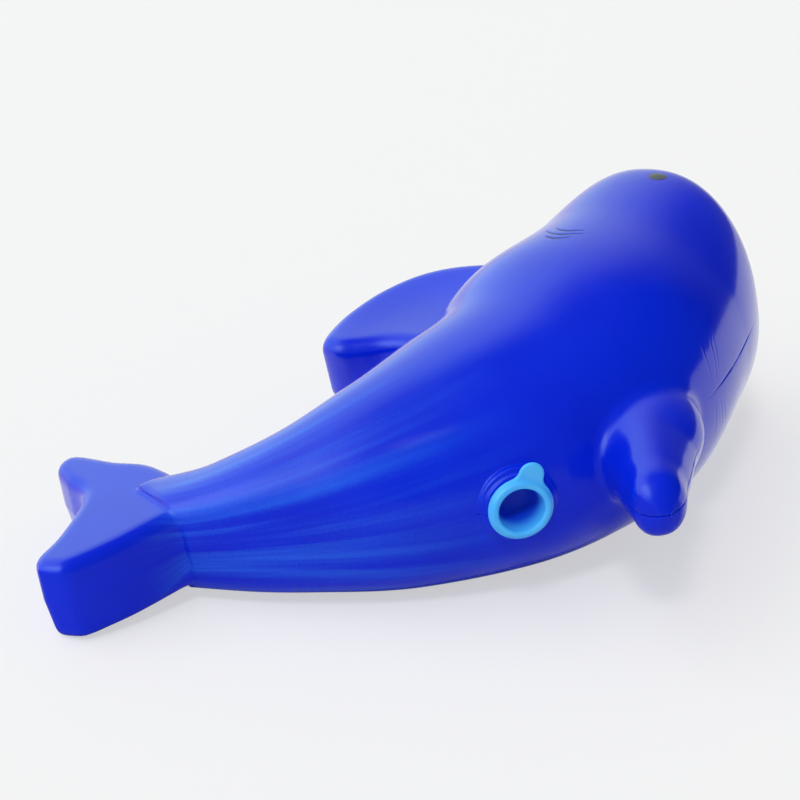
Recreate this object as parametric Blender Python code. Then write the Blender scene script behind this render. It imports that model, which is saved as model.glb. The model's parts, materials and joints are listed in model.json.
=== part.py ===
"""Shark water squirter: two hollow body halves, a push-in stopper and two eye dots.

The shapes are drawn about the shark's mirror plane, where the halves meet: +X runs to the
snout, +Y to the back with the dorsal fin, and +Z to the left flank. At the end the toy is laid
on its right flank and the upper lobe of its tail. All sizes are in metres.
"""
import math

import bmesh
import bpy
from mathutils import Matrix, Vector

# Walls and fits
WALL = 0.002
SEAM_GAP = 0.0003
SEAT_GAP = 0.0003
PLUG_CLEARANCE = 0.0003

# Swept forms. Each row: x, y of the section's centre in the seam plane,
# half height across the spine in that plane, half width across the flanks,
# and how square the section is: 2 is an ellipse, more fills its corners.
TRUNK = (
    (-0.0990, 0.0090, 0.0000, 0.0000, 3.0),
    (-0.0930, 0.0020, 0.0088, 0.0100, 3.0),
    (-0.0850, -0.0070, 0.0123, 0.0146, 3.0),
    (-0.0730, -0.0195, 0.0133, 0.0178, 3.0),
    (-0.0550, -0.0310, 0.0192, 0.0236, 2.3),
    (-0.0330, -0.0395, 0.0283, 0.0304, 2.0),
    (-0.0090, -0.0440, 0.0368, 0.0350, 2.0),
    (0.0136, -0.0450, 0.0420, 0.0382, 2.0),
    (0.0385, -0.0380, 0.0435, 0.0424, 2.14),
    (0.0670, -0.0260, 0.0400, 0.0410, 2.0),
    (0.0960, -0.0114, 0.0312, 0.0402, 2.24),
    (0.1120, -0.0085, 0.0195, 0.0260, 2.2),
    (0.1205, -0.0080, 0.0000, 0.0000, 2.0),
)
DORSAL_FIN = (
    (0.0420, -0.0080, 0.0300, 0.0230, 2.2),
    (0.0410, 0.0090, 0.0258, 0.0213, 2.4),
    (0.0378, 0.0244, 0.0196, 0.0185, 2.5),
    (0.0285, 0.0356, 0.0138, 0.0158, 2.6),
    (0.0136, 0.0376, 0.0098, 0.0128, 2.7),
    (0.0024, 0.0328, 0.0080, 0.0112, 2.7),
    (-0.0006, 0.0312, 0.0000, 0.0000, 2.7),
)
BELLY_FIN = (
    (0.0270, -0.0640, 0.0220, 0.0246, 2.4),
    (0.0235, -0.0800, 0.0180, 0.0190, 2.6),
    (0.0170, -0.0930, 0.0122, 0.0136, 2.7),
    (0.0093, -0.1040, 0.0089, 0.0107, 2.7),
    (0.0040, -0.1115, 0.0068, 0.0088, 2.5),
    (0.0008, -0.1161, 0.0000, 0.0000, 2.4),
)
TRUNK_SIDES = 28
FIN_SIDES = 20
SWEEP_STEPS = 3

# Tail plate: outline in the seam plane, then how far the rim draws in at each height from it
TAIL_OUTLINE = (
    (-0.0760, 0.0100),
    (-0.0770, -0.0195),
    (-0.0920, -0.0204),
    (-0.1060, -0.0208),
    (-0.1176, -0.0194),
    (-0.1246, -0.0164),
    (-0.1268, -0.0114),
    (-0.1243, -0.0058),
    (-0.1146, 0.0002),
    (-0.1002, 0.0139),
    (-0.0986, 0.0280),
    (-0.0968, 0.0368),
    (-0.0922, 0.0402),
    (-0.0872, 0.0377),
    (-0.0822, 0.0248),
)
TAIL_RIM = (
    (0.0000, 0.0000),
    (0.0060, 0.0004),
    (0.0090, 0.0007),
    (0.0110, 0.0016),
    (0.0120, 0.0036),
)

# How the toy lies: the direction that points up at rest, and how far the table is from the
# middle of the forms. Small flats on the right flank and on the tail meet the table.
REST_UP = (0.158, -0.122, 0.980)
REST_DEPTH = 0.0300

# Filler neck on the belly line, square to it
NECK_X = -0.0173
NECK_BORE_RADIUS = 0.0072
COLLAR_RADIUS = 0.0097
COLLAR_HEIGHT = 0.0018
NECK_DEPTH = 0.0060
NECK_SIDES = 40

# Stopper
STOPPER_FLANGE_RADIUS = 0.0089
STOPPER_FLANGE_THICKNESS = 0.0014
STOPPER_LIP_HEIGHT = 0.0024
STOPPER_WALL = 0.0009
STOPPER_LENGTH = 0.0100
STOPPER_RIB_HEIGHT = 0.0002
STOPPER_RIB_LEVELS = (0.0040, 0.0065)
STOPPER_RIB_WIDTH = 0.0010
TAB_ANGLE = math.radians(27)
TAB_WIDTH = 0.0070
TAB_REACH = 0.0135
TAB_THICKNESS = 0.0013

# Water outlet in the snout, on the seam
OUTLET_RADIUS = 0.0010

# Printed eye dots, inlaid in shallow pockets
EYE_X = 0.0935
EYE_Y = -0.0212
EYE_RADIUS = 0.0031
EYE_THICKNESS = 0.0006
EYE_SIDES = 24

# Cutters reach this far past what they cut, and corners closer than the weld are one
OVERSHOOT = 0.0100
WELD = 0.000002

BODY_BLUE = (0.004, 0.010, 0.480, 1.0)
STOPPER_BLUE = (0.075, 0.440, 1.000, 1.0)
EYE_BLACK = (0.010, 0.010, 0.014, 1.0)
GLOSSY = 0.28
SATIN = 0.40


def clear_scene():
    for item in list(bpy.data.objects):
        bpy.data.objects.remove(item, do_unlink=True)


def material(name, colour, roughness):
    made = bpy.data.materials.new(name)
    made.use_nodes = True
    shader = made.node_tree.nodes["Principled BSDF"]
    shader.inputs["Base Color"].default_value = colour
    shader.inputs["Roughness"].default_value = roughness
    shader.inputs["Metallic"].default_value = 0.0
    made.diffuse_color = colour
    return made


def as_object(name, form):
    """Turn a bmesh into a linked object with outward faces."""
    bmesh.ops.recalc_face_normals(form, faces=form.faces)
    mesh = bpy.data.meshes.new(name)
    form.to_mesh(mesh)
    form.free()
    made = bpy.data.objects.new(name, mesh)
    bpy.context.scene.collection.objects.link(made)
    return made


def spline(before, start, end, after, share):
    """Catmull-Rom value between start and end."""
    slope_start = (end - before) / 2
    slope_end = (after - start) / 2
    square = share * share
    cube = square * share
    return ((2 * cube - 3 * square + 1) * start + (cube - 2 * square + share) * slope_start
            + (3 * square - 2 * cube) * end + (cube - square) * slope_end)


def sections(stations):
    """Smooth the stations into closely spaced rows. Radii run smoothly in their squares,
    so that a form closes with a round end."""
    rows = [(x, y, tall * tall, wide * wide, square) for x, y, tall, wide, square in stations]
    last = len(rows) - 1
    smooth = []
    for index in range(last):
        four = [rows[max(index - 1, 0)], rows[index], rows[index + 1], rows[min(index + 2, last)]]
        for step in range(SWEEP_STEPS):
            values = [spline(*column, step / SWEEP_STEPS) for column in zip(*four)]
            smooth.append(values)
    smooth.append(list(rows[last]))
    return [(x, y, math.sqrt(max(tall, 0)), math.sqrt(max(wide, 0)), square)
            for x, y, tall, wide, square in smooth]


def framed(rows):
    """Each row as its centre, the direction across the spine, its two radii and its squareness."""
    placed = []
    for index, (x, y, tall, wide, square) in enumerate(rows):
        behind = rows[max(index - 1, 0)]
        ahead = rows[min(index + 1, len(rows) - 1)]
        along = Vector((ahead[0] - behind[0], ahead[1] - behind[1], 0)).normalized()
        placed.append((Vector((x, y, 0)), Vector((-along.y, along.x, 0)), tall, wide, square))
    return placed


def squared(value, square):
    """A sine or cosine, moved outward where the section is squarer than an ellipse."""
    return math.copysign(abs(value) ** (2 / square), value)


def sweep(name, stations, sides):
    """A closed body of rounded sections across a curve in the seam plane."""
    form = bmesh.new()
    rings = []
    for centre, across, tall, wide, square in framed(sections(stations)):
        if tall == 0:
            rings.append([form.verts.new(centre)])
            continue
        ring = []
        for side in range(sides):
            turn = math.tau * side / sides
            ring.append(form.verts.new(centre + across * tall * squared(math.cos(turn), square)
                                       + Vector((0, 0, wide * squared(math.sin(turn), square)))))
        rings.append(ring)
    for near, far in zip(rings, rings[1:]):
        for side in range(sides):
            after = (side + 1) % sides
            corners = [near[side % len(near)], near[after % len(near)],
                       far[after % len(far)], far[side % len(far)]]
            form.faces.new(list(dict.fromkeys(corners)))
    for ring in (rings[0], rings[-1]):
        if len(ring) > 1:
            form.faces.new(ring)
    return as_object(name, form)


def drawn_in(outline, distance):
    """The outline with every side moved inward by the distance."""
    corners = [Vector(point) for point in outline]
    moved = []
    for index, corner in enumerate(corners):
        came = (corner - corners[index - 1]).normalized()
        goes = (corners[(index + 1) % len(corners)] - corner).normalized()
        middle = (came + goes).normalized()
        inward = Vector((middle.y, -middle.x))
        moved.append(corner + inward * distance / middle.dot(goes))
    return moved


def plate(name, outline, rim):
    """A plate across the seam plane whose outline draws in towards both faces."""
    levels = [(-height, inset) for height, inset in reversed(rim[1:])] + list(rim)
    form = bmesh.new()
    rings = []
    for height, inset in levels:
        rings.append([form.verts.new((*point, height)) for point in drawn_in(outline, inset)])
    for low, high in zip(rings, rings[1:]):
        for index in range(len(low)):
            form.faces.new((low[index - 1], low[index], high[index], high[index - 1]))
    form.faces.new(rings[0])
    form.faces.new(rings[-1])
    return as_object(name, form)


def cylinder(name, radius, low, high, sides, frame):
    """A rod along the frame's Z axis, from low to high, with no corner on the seam plane."""
    form = bmesh.new()
    half_step = Matrix.Rotation(math.pi / sides, 4, "Z")
    centre = frame @ Matrix.Translation((0, 0, (low + high) / 2)) @ half_step
    bmesh.ops.create_cone(form, cap_ends=True, segments=sides, radius1=radius, radius2=radius,
                          depth=high - low, matrix=centre)
    return as_object(name, form)


def block(name, low, high):
    form = bmesh.new()
    size = Vector(high) - Vector(low)
    centre = (Vector(high) + Vector(low)) / 2
    bmesh.ops.create_cube(form, size=1, matrix=Matrix.Translation(centre) @ Matrix.Diagonal((*size, 1)))
    return as_object(name, form)


def bake(target):
    """Replace a mesh by what its modifiers make of it."""
    bpy.context.view_layer.update()
    graph = bpy.context.evaluated_depsgraph_get()
    made = bpy.data.meshes.new_from_object(target.evaluated_get(graph))
    target.modifiers.clear()
    target.data = made


def combine(target, other, operation):
    """Boolean of two closed bodies. The second one is used up."""
    change = target.modifiers.new(operation, "BOOLEAN")
    change.operation = operation
    change.solver = "EXACT"
    change.object = other
    bake(target)
    bpy.data.objects.remove(other, do_unlink=True)


def shrunk(source, depth):
    """A copy whose surface lies a wall's depth inside the source."""
    form = bmesh.new()
    form.from_mesh(source.data)
    form.normal_update()
    moves = [(vert, vert.normal * depth) for vert in form.verts]
    for vert, move in moves:
        vert.co -= move
    return as_object(source.name + "_inside", form)


def rest_turn():
    """Rotation from the shapes' own frame to the toy lying on a table."""
    return Vector(REST_UP).rotation_difference(Vector((0, 0, 1))).to_matrix().to_4x4()


def body_forms():
    """The closed outer forms that make up the body."""
    return [
        sweep("trunk", TRUNK, TRUNK_SIDES),
        sweep("dorsal_fin", DORSAL_FIN, FIN_SIDES),
        sweep("belly_fin", BELLY_FIN, FIN_SIDES),
        plate("tail", TAIL_OUTLINE, TAIL_RIM),
    ]


def cut_level(form, depth):
    """Take off what would lie deeper than this when the toy rests on the table."""
    reach = 2 * max(abs(row[0]) for row in TRUNK)
    under = block("under", (-reach, -reach, -reach), (reach, reach, -depth))
    under.matrix_world = rest_turn().inverted()
    combine(form, under, "DIFFERENCE")


def joined(forms):
    whole = forms[0]
    for other in forms[1:]:
        combine(whole, other, "UNION")
    return whole


def belly_at(x):
    """Point of the belly line in the seam plane, and the direction square to it."""
    line = [centre - across * tall for centre, across, tall, *_ in framed(sections(TRUNK))]
    for near, far in zip(line, line[1:]):
        if near.x <= x <= far.x:
            along = (far - near).normalized()
            return near.lerp(far, (x - near.x) / (far.x - near.x)), Vector((along.y, -along.x, 0))
    raise ValueError("the neck lies off the belly")


def neck_frame():
    """Z points out of the neck, Y to the left flank, X along the belly to the head."""
    seat, out = belly_at(NECK_X)
    up = Vector((0, 0, 1))
    turn = Matrix((up.cross(out), up, out)).transposed().to_4x4()
    return Matrix.Translation(seat) @ turn


def surface_at(body, x, y, side):
    """Point and normal of the flank straight above or below a point of the seam plane."""
    start = Vector((x, y, side))
    found, place, normal, _ = body.ray_cast(start, Vector((0, 0, -side)))
    if not found:
        raise ValueError("the eye lies off the flank")
    return place, normal


def eye_frame(body, side):
    place, normal = surface_at(body, EYE_X, EYE_Y, side)
    turn = normal.to_track_quat("Z", "Y").to_matrix().to_4x4()
    return Matrix.Translation(place) @ turn


def shell():
    """The hollow body in one piece, with its neck, outlet and eye pockets."""
    forms = body_forms()
    hollows = [shrunk(form, WALL) for form in forms]
    for form, hollow in zip(forms, hollows):
        cut_level(form, REST_DEPTH)
        cut_level(hollow, REST_DEPTH - WALL)
    body = joined(forms)
    bpy.context.view_layer.update()
    eyes = {side: eye_frame(body, side) for side in (1, -1)}
    combine(body, joined(hollows), "DIFFERENCE")
    frame = neck_frame()
    combine(body, cylinder("neck", COLLAR_RADIUS, -NECK_DEPTH, COLLAR_HEIGHT, NECK_SIDES, frame), "UNION")
    bore_end = NECK_DEPTH + OVERSHOOT
    combine(body, cylinder("bore", NECK_BORE_RADIUS, -bore_end, bore_end, NECK_SIDES, frame), "DIFFERENCE")
    snout = Vector((TRUNK[-1][0], TRUNK[-1][1], 0))
    ahead = Matrix.Translation(snout) @ Matrix.Rotation(math.radians(90), 4, "Y")
    combine(body, cylinder("outlet", OUTLET_RADIUS, -OVERSHOOT, OVERSHOOT, EYE_SIDES, ahead), "DIFFERENCE")
    pocket = EYE_THICKNESS + SEAT_GAP
    for side, place in eyes.items():
        hole = cylinder("pocket", EYE_RADIUS + SEAT_GAP, -pocket, OVERSHOOT, EYE_SIDES, place)
        combine(body, hole, "DIFFERENCE")
    return body, eyes


def half(body, name, side, look):
    """The part of the body on one side of the seam, closed by a flat rim."""
    form = bmesh.new()
    form.from_mesh(body.data)
    bmesh.ops.remove_doubles(form, verts=form.verts, dist=WELD)
    bmesh.ops.dissolve_degenerate(form, edges=form.edges, dist=WELD)
    geometry = form.verts[:] + form.edges[:] + form.faces[:]
    bmesh.ops.bisect_plane(form, geom=geometry, dist=WELD, plane_co=(0, 0, side * SEAM_GAP / 2),
                           plane_no=(0, 0, side), clear_inner=True)
    rim = [edge for edge in form.edges if edge.is_boundary]
    bmesh.ops.triangle_fill(form, edges=rim, normal=(0, 0, -side), use_beauty=True)
    made = as_object(name, form)
    finish(made, look)
    return made


def finish(target, look):
    target.data.materials.clear()
    target.data.materials.append(look)
    target.data.shade_smooth()
    target.data.set_sharp_from_angle(angle=math.radians(35))


def stopper_profile():
    """Half section of the stopper, from the cup's floor inside, over the rim, to the plug's end.
    Levels are measured outward from the collar's rim."""
    outer = NECK_BORE_RADIUS - PLUG_CLEARANCE - STOPPER_RIB_HEIGHT
    inner = outer - STOPPER_WALL
    end = -STOPPER_LENGTH
    top = SEAT_GAP + STOPPER_FLANGE_THICKNESS
    lip = SEAT_GAP + STOPPER_LIP_HEIGHT
    middle = (STOPPER_FLANGE_RADIUS + inner) / 2
    rounding = STOPPER_FLANGE_THICKNESS / 4
    points = [
        (0, end + STOPPER_WALL),
        (inner, end + STOPPER_WALL),
        (inner, lip - rounding),
        (inner + rounding, lip),
        (middle - rounding, lip),
        (middle, lip - rounding),
        (STOPPER_FLANGE_RADIUS - rounding, top),
        (STOPPER_FLANGE_RADIUS, top - rounding),
        (STOPPER_FLANGE_RADIUS, SEAT_GAP + rounding),
        (STOPPER_FLANGE_RADIUS - rounding, SEAT_GAP),
        (outer, SEAT_GAP),
    ]
    for level in STOPPER_RIB_LEVELS:
        points.append((outer, STOPPER_RIB_WIDTH / 2 - level))
        points.append((outer + STOPPER_RIB_HEIGHT, -level))
        points.append((outer, -STOPPER_RIB_WIDTH / 2 - level))
    points.append((outer, end + STOPPER_WALL))
    points.append((inner, end))
    points.append((0, end))
    return points


def turned(name, profile, sides):
    form = bmesh.new()
    line = [form.verts.new((radius, 0, level)) for radius, level in profile]
    edges = [form.edges.new(pair) for pair in zip(line, line[1:])]
    bmesh.ops.spin(form, geom=line + edges, cent=(0, 0, 0), axis=(0, 0, 1), angle=math.tau,
                   steps=sides, use_merge=True)
    bmesh.ops.remove_doubles(form, verts=form.verts, dist=WELD)
    return as_object(name, form)


def stopper(look):
    made = turned("stopper", stopper_profile(), NECK_SIDES)
    half_width = TAB_WIDTH / 2
    low = SEAT_GAP
    high = low + TAB_THICKNESS
    root = (STOPPER_FLANGE_RADIUS + NECK_BORE_RADIUS) / 2
    tip = TAB_REACH - half_width
    form = bmesh.new()
    arc = [(tip + half_width * math.sin(turn), half_width * math.cos(turn))
           for turn in (math.pi * step / EYE_SIDES for step in range(EYE_SIDES + 1))]
    ring = [(root, half_width)] + arc + [(root, -half_width)]
    face = form.faces.new([form.verts.new((x, y, low)) for x, y in ring])
    raised = bmesh.ops.extrude_face_region(form, geom=[face])
    upper = [item for item in raised["geom"] if isinstance(item, bmesh.types.BMVert)]
    bmesh.ops.translate(form, verts=upper, vec=(0, 0, high - low))
    turn_up = Matrix.Rotation(math.radians(90) - TAB_ANGLE, 4, "Z")
    bmesh.ops.transform(form, matrix=turn_up, verts=form.verts)
    combine(made, as_object("tab", form), "UNION")
    made.matrix_world = neck_frame() @ Matrix.Translation((0, 0, COLLAR_HEIGHT))
    finish(made, look)
    return made


def eye(name, place, look):
    made = cylinder(name, EYE_RADIUS, -EYE_THICKNESS, 0, EYE_SIDES, Matrix())
    made.matrix_world = place
    finish(made, look)
    return made


def rest_on_origin(pieces):
    """Lay the assembly down and put the origin on the table, under the middle of its box."""
    turn = rest_turn()
    for piece in pieces:
        piece.matrix_world = turn @ piece.matrix_world
    bpy.context.view_layer.update()
    corners = [piece.matrix_world @ vert.co for piece in pieces for vert in piece.data.vertices]
    low = [min(corner[axis] for corner in corners) for axis in range(3)]
    high = [max(corner[axis] for corner in corners) for axis in range(3)]
    shift = Vector((-(low[0] + high[0]) / 2, -(low[1] + high[1]) / 2, -low[2]))
    for piece in pieces:
        piece.matrix_world = Matrix.Translation(shift) @ piece.matrix_world
    print("placed by", [round(value, 5) for value in shift])


def build():
    clear_scene()
    blue = material("body_blue_plastic", BODY_BLUE, GLOSSY)
    pale = material("stopper_pale_blue_plastic", STOPPER_BLUE, SATIN)
    ink = material("eye_black_print", EYE_BLACK, GLOSSY)
    body, eyes = shell()
    pieces = [
        half(body, "left_body_half", 1, blue),
        half(body, "right_body_half", -1, blue),
        stopper(pale),
        eye("left_eye", eyes[1], ink),
        eye("right_eye", eyes[-1], ink),
    ]
    bpy.data.objects.remove(body, do_unlink=True)
    rest_on_origin(pieces)
    for piece in pieces:
        print(piece.name, len(piece.data.polygons), "faces")


build()
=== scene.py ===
# %% [markdown]
# # A shark water squirter
# The toy is a hollow, glossy blue shark of soft plastic. Water goes in through a short neck in
# the belly, a pale blue stopper closes the neck, and a squeeze sends the water out of a small
# hole in the snout. It lies on its right flank, as in the photograph.
#
# The packed CAD model is loaded first and stays as the frame: every piece below is drawn in its
# place, rides on one of its bodies, and stands for one of its nodes.

# %% Load the frame
import itertools
import json
import math

import bmesh
import bpy
import numpy as np
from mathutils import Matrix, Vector
from mathutils.geometry import delaunay_2d_cdt

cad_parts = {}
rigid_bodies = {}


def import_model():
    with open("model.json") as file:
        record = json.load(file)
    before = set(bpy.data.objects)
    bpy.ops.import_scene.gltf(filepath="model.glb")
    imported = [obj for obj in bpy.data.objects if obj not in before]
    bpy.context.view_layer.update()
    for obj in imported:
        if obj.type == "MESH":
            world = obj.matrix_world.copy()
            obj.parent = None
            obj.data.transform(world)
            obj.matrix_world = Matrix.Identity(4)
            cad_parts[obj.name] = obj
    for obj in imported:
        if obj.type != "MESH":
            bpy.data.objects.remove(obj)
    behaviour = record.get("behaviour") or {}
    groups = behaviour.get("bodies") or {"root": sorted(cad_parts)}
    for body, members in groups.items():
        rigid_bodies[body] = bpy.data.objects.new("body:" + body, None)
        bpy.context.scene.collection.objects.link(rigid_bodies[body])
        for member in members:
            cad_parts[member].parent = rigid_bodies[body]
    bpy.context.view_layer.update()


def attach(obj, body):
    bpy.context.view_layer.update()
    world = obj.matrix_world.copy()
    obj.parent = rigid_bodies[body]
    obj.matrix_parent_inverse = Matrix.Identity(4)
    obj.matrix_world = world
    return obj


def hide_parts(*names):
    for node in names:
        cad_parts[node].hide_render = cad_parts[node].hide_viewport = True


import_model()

# %% [markdown]
# The shark is drawn flat first, as a maker would: its mirror plane is z = 0, x runs to the snout,
# y to the back fin and z to the left flank, all in millimetres. One turn and one shift then lay
# it on the table, exactly as the CAD model lies.

# %% From the drawing to the table
MM = 0.001
REST_UP = Vector((0.158, -0.122, 0.980)).normalized()
REST_DEPTH = 30.0
LAY_DOWN = np.array(REST_UP.rotation_difference(Vector((0, 0, 1))).to_matrix())
PLACED_AT = np.array((3.473, 33.458, REST_DEPTH))
SNOUT = (120.5, -8.0)


def to_table(points):
    """Drawing millimetres to the frame of the CAD, in metres."""
    return (np.asarray(points) @ LAY_DOWN.T + PLACED_AT) * MM


print("snout tip on the table:", to_table((*SNOUT, 0.0)).round(4))

# %% [markdown]
# The trunk and the belly fin are rounded sections strung along a curved spine. Each row gives the
# spine's x and y, the half height across the spine, the half width across the flanks, and how
# square the section is: 2 is an ellipse, more fills its corners. The dorsal fin and the tail look
# like thick plates, so they are drawn as outlines. A smooth curve runs through each set of rows.

# %% Stations of the trunk and the fins
TRUNK = (
    (-99.0, 9.0, 0.0, 0.0, 3.0), (-93.0, 2.0, 10.5, 12.6, 3.6), (-85.0, -7.0, 11.8, 14.2, 3.4),
    (-73.0, -19.5, 13.3, 17.8, 3.0), (-55.0, -31.0, 19.2, 23.6, 2.3), (-33.0, -39.5, 28.3, 30.4, 2.0),
    (-9.0, -44.0, 36.8, 35.0, 2.0), (13.6, -45.0, 42.0, 38.2, 2.0), (38.5, -38.0, 43.5, 42.4, 2.14),
    (67.0, -26.0, 40.0, 41.0, 2.0), (96.0, -12.4, 31.6, 40.2, 2.24), (112.0, -8.3, 19.8, 26.0, 2.2),
    (*SNOUT, 0.0, 0.0, 2.0))
DORSAL_OUTLINE = (
    (72.0, -14.0), (67.5, 8.0), (62.0, 24.0), (53.0, 36.6), (42.0, 44.6), (28.0, 48.0), (14.0, 46.6),
    (4.0, 42.6), (-1.2, 38.4), (-1.9, 34.0), (-0.4, 29.6), (4.0, 25.6), (10.0, 20.0), (14.5, 12.0),
    (17.0, 3.0), (18.0, -8.0), (34.0, -24.0), (55.0, -26.0))
BELLY_FIN = (
    (27.0, -64.0, 23.5, 17.0, 2.8), (23.5, -80.0, 20.0, 15.0, 2.5), (17.0, -93.0, 13.0, 13.0, 2.1),
    (9.3, -104.0, 8.9, 10.7, 2.3), (4.0, -111.5, 6.8, 8.8, 2.6), (0.8, -116.1, 0.0, 0.0, 2.4))
TAIL_OUTLINE = (
    (-76.0, 10.0), (-77.0, -19.5), (-92.0, -20.4), (-106.0, -20.8), (-116.4, -19.8),
    (-121.4, -18.7), (-123.6, -17.0), (-126.2, -12.8), (-126.6, -10.2), (-124.3, -5.8),
    (-114.6, 0.2), (-100.2, 13.9), (-98.6, 28.0), (-96.8, 36.8), (-92.2, 40.2), (-87.2, 37.7),
    (-82.2, 24.8))
STEPS = 32


def smooth_line(rows, closed=False):
    """A curve through the rows, in equal shares between each two."""
    rows = np.asarray(rows, float)
    ends = (rows[-1:], rows[:2]) if closed else (rows[:1], rows[-1:])
    held = np.vstack((ends[0], rows, ends[1]))
    share = (np.arange(STEPS) / STEPS)[:, None]
    square, cube = share ** 2, share ** 3
    pieces = []
    for before, start, end, after in zip(held, held[1:], held[2:], held[3:]):
        pieces.append((2 * cube - 3 * square + 1) * start
                      + (cube - 2 * square + share) * (end - before) / 2
                      + (3 * square - 2 * cube) * end + (cube - square) * (after - start) / 2)
    return np.vstack(pieces if closed else pieces + [rows[-1:]])


tail_edge = smooth_line(TAIL_OUTLINE, closed=True)
dorsal_edge = smooth_line(DORSAL_OUTLINE, closed=True)
print("edges of", len(tail_edge), "and", len(dorsal_edge), "points")

# %% [markdown]
# Joining such forms as meshes leaves hard, ragged lines where they meet. A real moulded toy has
# soft fillets there, so the body is drawn as a distance field instead: a function that is
# negative inside the plastic and grows with the distance from it. Fields are joined with a
# rounded minimum, and its reach is the fillet. What a form does in the mirror plane doesn't
# depend on z, so it is worked out once, on a sheet of points over that plane.

# %% Sheets over the mirror plane
SHEET_STEP = 0.5
SHEET_LOW = np.array((-133.0, -123.0))
SHEET_SHAPE = (526, 352)
AT_ONCE = 20000
sheet_x = SHEET_LOW[0] + SHEET_STEP * np.arange(SHEET_SHAPE[0])
sheet_y = SHEET_LOW[1] + SHEET_STEP * np.arange(SHEET_SHAPE[1])


def read_sheet(sheet, x, y):
    """A sheet's value between its points."""
    across = np.clip((x - SHEET_LOW[0]) / SHEET_STEP, 0, SHEET_SHAPE[0] - 1.001)
    along = np.clip((y - SHEET_LOW[1]) / SHEET_STEP, 0, SHEET_SHAPE[1] - 1.001)
    i, j = across.astype(int), along.astype(int)
    u, v = across - i, along - j
    return ((sheet[i, j] * (1 - u) + sheet[i + 1, j] * u) * (1 - v)
            + (sheet[i, j + 1] * (1 - u) + sheet[i + 1, j + 1] * u) * v)


def nearest(points, line):
    """Index of the line's point that is nearest to each point."""
    found = np.empty(len(points), int)
    for start in range(0, len(points), AT_ONCE):
        some = points[start:start + AT_ONCE, None]
        gap = (some[..., 0] - line[None, :, 0]) ** 2 + (some[..., 1] - line[None, :, 1]) ** 2
        found[start:start + AT_ONCE] = gap.argmin(1)
    return found


flat = np.stack(np.meshgrid(sheet_x, sheet_y, indexing="ij"), -1).reshape(-1, 2)
print("a sheet has", len(flat), "points")

# %% [markdown]
# For a swept form the sheets hold, at each point of the plane, how far out of the section it lies
# and how large the section is there. The radii are smoothed in their squares, which gives the
# form a round end. The belly fin's front side is less square than its back.

# %% Sheets of the swept forms
LEAST_SQUARE = 0.3
FAR_OUT = 60
ROOT_CLOSE = 6.0
BELLY_FRONT = 0.8


def spine_of(stations):
    """Smooth spine of a form: its points, its direction, its length so far, and its sections."""
    rows = np.array(stations)
    rows[:, 2:4] **= 2
    line = smooth_line(rows)
    spine = line[:, :2]
    step = np.gradient(spine, axis=0)
    ahead = step / np.linalg.norm(step, axis=1)[:, None]
    length = np.concatenate(([0], np.cumsum(np.linalg.norm(np.diff(spine, axis=0), axis=1))))
    return spine, ahead, length, np.maximum(line[:, 2:], LEAST_SQUARE)


def along_spine(points, spine, ahead, length):
    """How far along the spine each point of the plane lies, and how far to its side."""
    near = nearest(points, spine)
    offset = points - spine[near]
    place = length[near] + (offset * ahead[near]).sum(1)
    return place, offset[:, 0] * -ahead[near, 1] + offset[:, 1] * ahead[near, 0]


def swept_sheets(stations, root, front_square=1.0):
    """How far out a point is, both radii, the lean, the end and the squareness."""
    spine, ahead, length, section = spine_of(stations)
    tall, wide, square = section.T
    place, side = along_spine(flat, spine, ahead, length)
    half_tall = np.sqrt(np.interp(place, length, tall))
    half_wide = np.sqrt(np.interp(place, length, wide))
    lean = abs(np.interp(place, length, np.gradient(wide, length))) / (2 * half_wide ** 2)
    over = np.maximum(place - length[-1], -place - root)
    sheets = (np.minimum(abs(side) / half_tall, FAR_OUT), half_tall, half_wide, lean, over,
              np.interp(place, length, square) * np.where(side > 0, front_square, 1))
    return [sheet.reshape(SHEET_SHAPE) for sheet in sheets]


trunk_sheets = swept_sheets(TRUNK, 0.0)
belly_sheets = swept_sheets(BELLY_FIN, ROOT_CLOSE, BELLY_FRONT)
print("swept sheets", trunk_sheets[0].shape)

# %% [markdown]
# The tail is a flat plate with a rounded edge, and the dorsal fin a thick blade that thins towards
# its tip. A sheet holds the distance to such an outline, negative inside; the sign comes from
# counting how often a ray crosses the outline.

# %% Sheets of the tail and the dorsal fin
def enclosed(points, starts, ends):
    """Whether a ray from each point along +X crosses an odd number of these segments."""
    crossings = np.zeros(len(points), int)
    for start, end in zip(starts, ends):
        low, high = (start, end) if start[1] < end[1] else (end, start)
        if low[1] == high[1]:
            continue
        hit = (points[:, 1] >= low[1]) & (points[:, 1] < high[1])
        at = low[0] + (points[:, 1] - low[1]) / (high[1] - low[1]) * (high[0] - low[0])
        crossings += hit & (points[:, 0] < at)
    return crossings % 2 == 1


def outline_sheet(edge):
    near = nearest(flat, edge)
    following = np.roll(edge, -1, axis=0)
    distance = np.full(len(flat), np.inf)
    for shift in (-1, 0):
        start = edge[(near + shift) % len(edge)]
        run = following[(near + shift) % len(edge)] - start
        share = np.clip(((flat - start) * run).sum(1) / (run ** 2).sum(1), 0, 1)
        distance = np.minimum(distance, np.linalg.norm(flat - start - share[:, None] * run, axis=1))
    return np.where(enclosed(flat, edge, following), -distance, distance).reshape(SHEET_SHAPE)


tail_sheet = outline_sheet(tail_edge)
dorsal_sheet = outline_sheet(dorsal_edge)
print("deepest point of the tail plate:", round(tail_sheet.min(), 1), "mm")

# %% [markdown]
# Three small tools work on fields: a rounded minimum joins two forms with a fillet, its mirror
# image keeps what lies in both, and a plate gets a rounded edge between its rim and its face.

# %% Tools for fields
def joined(first, second, fillet):
    share = np.clip(0.5 + 0.5 * (second - first) / fillet, 0, 1)
    return second + (first - second) * share - fillet * share * (1 - share)


def kept_of(first, second, rounding):
    """What lies in both forms."""
    return -joined(-first, -second, rounding)


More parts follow.
